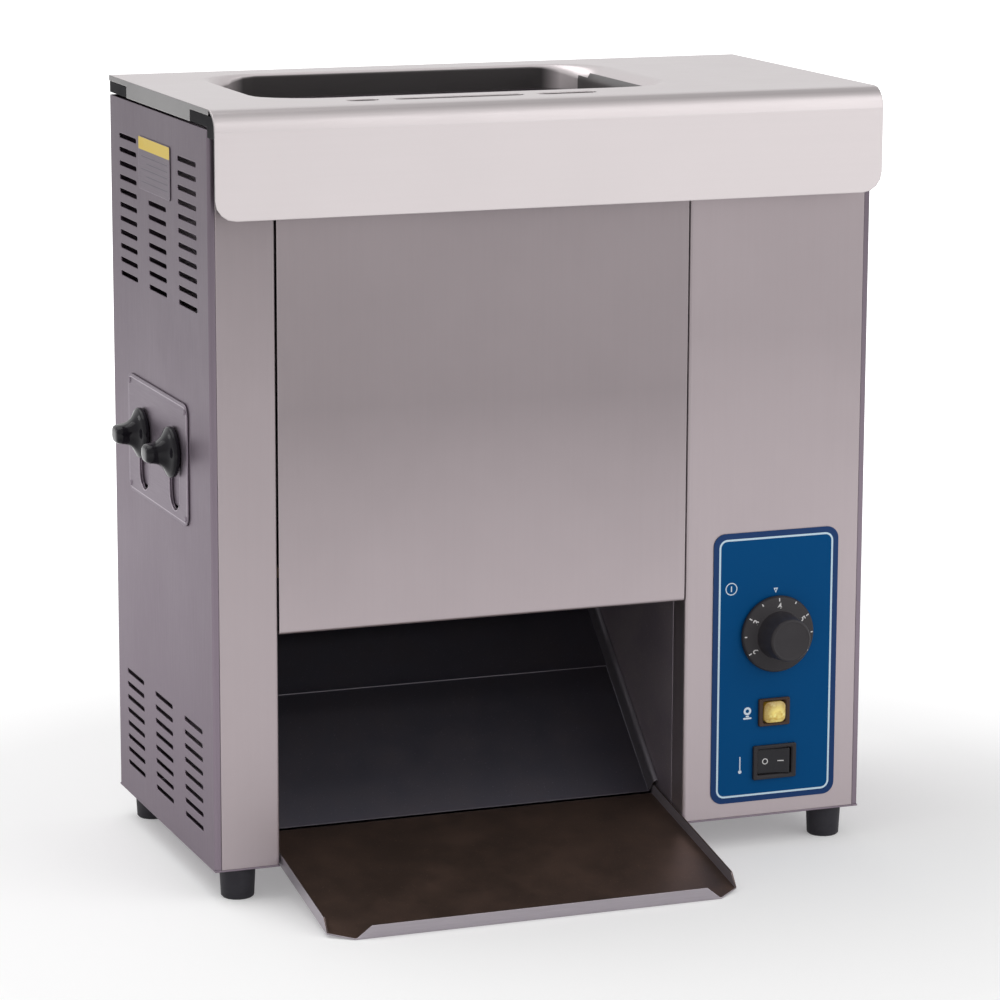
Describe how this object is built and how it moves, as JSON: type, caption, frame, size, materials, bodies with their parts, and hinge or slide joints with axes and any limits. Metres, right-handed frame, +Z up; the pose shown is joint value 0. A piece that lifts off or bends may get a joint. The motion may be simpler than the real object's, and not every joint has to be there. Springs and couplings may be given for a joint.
{
  "type": "vertical contact toaster",
  "caption": "Countertop vertical contact toaster in stainless steel with a top feed opening, lift-off front cover, side compression knobs, control panel and a sloped discharge tray.",
  "frame": {"origin": "centre of the bounding box on the plane that the feet stand on", "axes": "+Z up, -Y out of the front where the tray stands out, +X to the right of someone facing the front"},
  "size_m": [0.57, 0.396, 0.611],
  "materials": {
    "stainless": "brushed",
    "bright_stainless": "bright brushed",
    "inner_steel": "plain",
    "stained_steel": "heat stained",
    "cast_aluminium": "cast",
    "bronze": "plain",
    "coated_fabric": "non-stick coated",
    "belt_rubber": "silicone",
    "roller_rubber": "matt",
    "foot_rubber": "matt",
    "trim_black": "satin",
    "knob_black": "gloss",
    "dial_grey": "satin",
    "overlay_blue": "printed film",
    "amber": "moulded",
    "motor_grey": "painted"
  },
  "bodies": {
    "housing": {"base_pan": "stainless", "left_side_panel": "stainless", "right_side_panel": "stainless", "rear_panel": "stainless", "front_left_post": "stainless", "front_right_fascia": "stainless", "left_bulkhead": "inner_steel", "right_bulkhead": "inner_steel", "chamber_back": "inner_steel", "cover_hang_rod": "inner_steel", "feed_divider": "inner_steel", "front_feed_guide": "inner_steel", "rear_feed_guide": "inner_steel", "data_plate": "stainless", "control_overlay": "overlay_blue", "adjuster_plate": "stainless", "carriage_guide": "inner_steel", "platen": "cast_aluminium", "cartridge_heaters": "inner_steel", "release_sheet": "coated_fabric", "left_bearing_bar": "bronze", "right_bearing_bar": "bronze", "gearmotor": "motor_grey", "motor_bracket": "inner_steel", "drive_chain": "inner_steel", "fan_housing": "trim_black", "dial_controller": "trim_black", "power_inlet": "trim_black", "lamp_housing": "trim_black", "rocker_housing": "trim_black", "bun_chute": "stained_steel", "front_left_foot": "foot_rubber", "front_right_foot": "foot_rubber", "rear_left_foot": "foot_rubber", "rear_right_foot": "foot_rubber"},
    "cover": {"front_cover": "stainless"},
    "lid": {"top_cover": "bright_stainless", "left_corner_trim": "trim_black", "right_corner_trim": "trim_black"},
    "tray": {"bun_tray": "stained_steel"},
    "dial": {"dial_knob": "dial_grey"},
    "button": {"lamp_button": "amber"},
    "power_rocker": {"rocker": "trim_black"},
    "front_adjuster": {"front_adjuster_carriage": "stainless"},
    "front_knob": {"front_adjuster_knob": "knob_black"},
    "rear_adjuster": {"rear_adjuster_carriage": "stainless"},
    "rear_knob": {"rear_adjuster_knob": "knob_black"},
    "front_conveyor": {"front_conveyor_frame": "inner_steel", "front_belt": "belt_rubber"},
    "front_idler": {"front_idler_roller": "inner_steel"},
    "front_drive": {"front_drive_roller": "roller_rubber", "front_sprocket": "inner_steel"},
    "rear_conveyor": {"rear_conveyor_frame": "inner_steel", "rear_belt": "belt_rubber"},
    "rear_idler": {"rear_idler_roller": "inner_steel"},
    "rear_drive": {"rear_drive_roller": "roller_rubber", "rear_sprocket": "inner_steel"},
    "motor_output": {"motor_sprocket": "inner_steel"},
    "chain_idler": {"idler_sprocket": "inner_steel"},
    "fan": {"fan_rotor": "trim_black"}
  },
  "joints": [
    {"name": "front_cover_swing", "type": "hinge", "parent": "housing", "child": "cover", "pos_m": [-0.03825, -0.06751, 0.553], "axis": [-1, 0, 0], "range_deg": [0, 28]},
    {"name": "top_cover_lift", "type": "slide", "parent": "housing", "child": "lid", "axis": [0, 0, 1], "range_m": [0, 0.06]},
    {"name": "tray_slide", "type": "slide", "parent": "housing", "child": "tray", "axis": [0, -1, 0], "range_m": [0, 0.06]},
    {"name": "dial_turn", "type": "hinge", "parent": "housing", "child": "dial", "pos_m": [0.2095, -0.07451, 0.1755], "axis": [0, -1, 0], "range_deg": [-120, 120]},
    {"name": "rocker_tilt", "type": "hinge", "parent": "housing", "child": "power_rocker", "pos_m": [0.20915, -0.07151, 0.07], "axis": [0, 0, 1], "range_deg": [0, 16]},
    {"name": "lamp_button_press", "type": "slide", "parent": "housing", "child": "button", "axis": [0, 1, 0], "range_m": [0, 0.002], "stiffness_N_per_m": 400},
    {"name": "front_adjuster_slide", "type": "slide", "parent": "housing", "child": "front_adjuster", "axis": [0, 0, -1], "range_m": [0, 0.032]},
    {"name": "front_knob_turn", "type": "hinge", "parent": "front_adjuster", "child": "front_knob", "pos_m": [-0.259, 0.01849, 0.337], "axis": [-1, 0, 0], "range_deg": [0, 90]},
    {"name": "rear_adjuster_slide", "type": "slide", "parent": "housing", "child": "rear_adjuster", "axis": [0, 0, -1], "range_m": [0, 0.032]},
    {"name": "rear_knob_turn", "type": "hinge", "parent": "rear_adjuster", "child": "rear_knob", "pos_m": [-0.259, 0.10349, 0.337], "axis": [-1, 0, 0], "range_deg": [0, 90]},
    {"name": "front_conveyor_tilt", "type": "hinge", "parent": "housing", "child": "front_conveyor", "pos_m": [-0.03825, 0.01029, 0.262], "axis": [-1, 0, 0], "range_deg": [0, 2.4]},
    {"name": "rear_conveyor_tilt", "type": "hinge", "parent": "housing", "child": "rear_conveyor", "pos_m": [-0.03825, 0.12969, 0.262], "axis": [1, 0, 0], "range_deg": [0, 2.4]},
    {"name": "front_drive_spin", "type": "hinge", "parent": "housing", "child": "front_drive", "pos_m": [-0.03825, 0.01029, 0.262], "axis": [1, 0, 0], "continuous": true},
    {"name": "rear_drive_spin", "type": "hinge", "parent": "housing", "child": "rear_drive", "pos_m": [-0.03825, 0.12969, 0.262], "axis": [1, 0, 0], "continuous": true},
    {"name": "front_idler_spin", "type": "hinge", "parent": "front_conveyor", "child": "front_idler", "pos_m": [-0.03825, 0.01029, 0.54], "axis": [1, 0, 0], "continuous": true},
    {"name": "rear_idler_spin", "type": "hinge", "parent": "rear_conveyor", "child": "rear_idler", "pos_m": [-0.03825, 0.12969, 0.54], "axis": [1, 0, 0], "continuous": true},
    {"name": "motor_spin", "type": "hinge", "parent": "housing", "child": "motor_output", "pos_m": [0.137, 0.14049, 0.19], "axis": [1, 0, 0], "continuous": true},
    {"name": "idler_sprocket_spin", "type": "hinge", "parent": "housing", "child": "chain_idler", "pos_m": [0.137, 0.14049, 0.325], "axis": [1, 0, 0], "continuous": true},
    {"name": "fan_spin", "type": "hinge", "parent": "housing", "child": "fan", "pos_m": [0.209, 0.17949, 0.462], "axis": [0, 1, 0], "continuous": true}
  ],
  "couplings": [
    {"joint": "front_conveyor_tilt", "follows": "front_adjuster_slide", "rad_per_m": 1.308},
    {"joint": "rear_conveyor_tilt", "follows": "rear_adjuster_slide", "rad_per_m": 1.308},
    {"joint": "rear_drive_spin", "follows": "front_drive_spin", "ratio": -1},
    {"joint": "front_idler_spin", "follows": "front_drive_spin", "ratio": 1},
    {"joint": "rear_idler_spin", "follows": "front_drive_spin", "ratio": -1},
    {"joint": "motor_spin", "follows": "front_drive_spin", "ratio": 1.5},
    {"joint": "idler_sprocket_spin", "follows": "front_drive_spin", "ratio": 1.5}
  ]
}
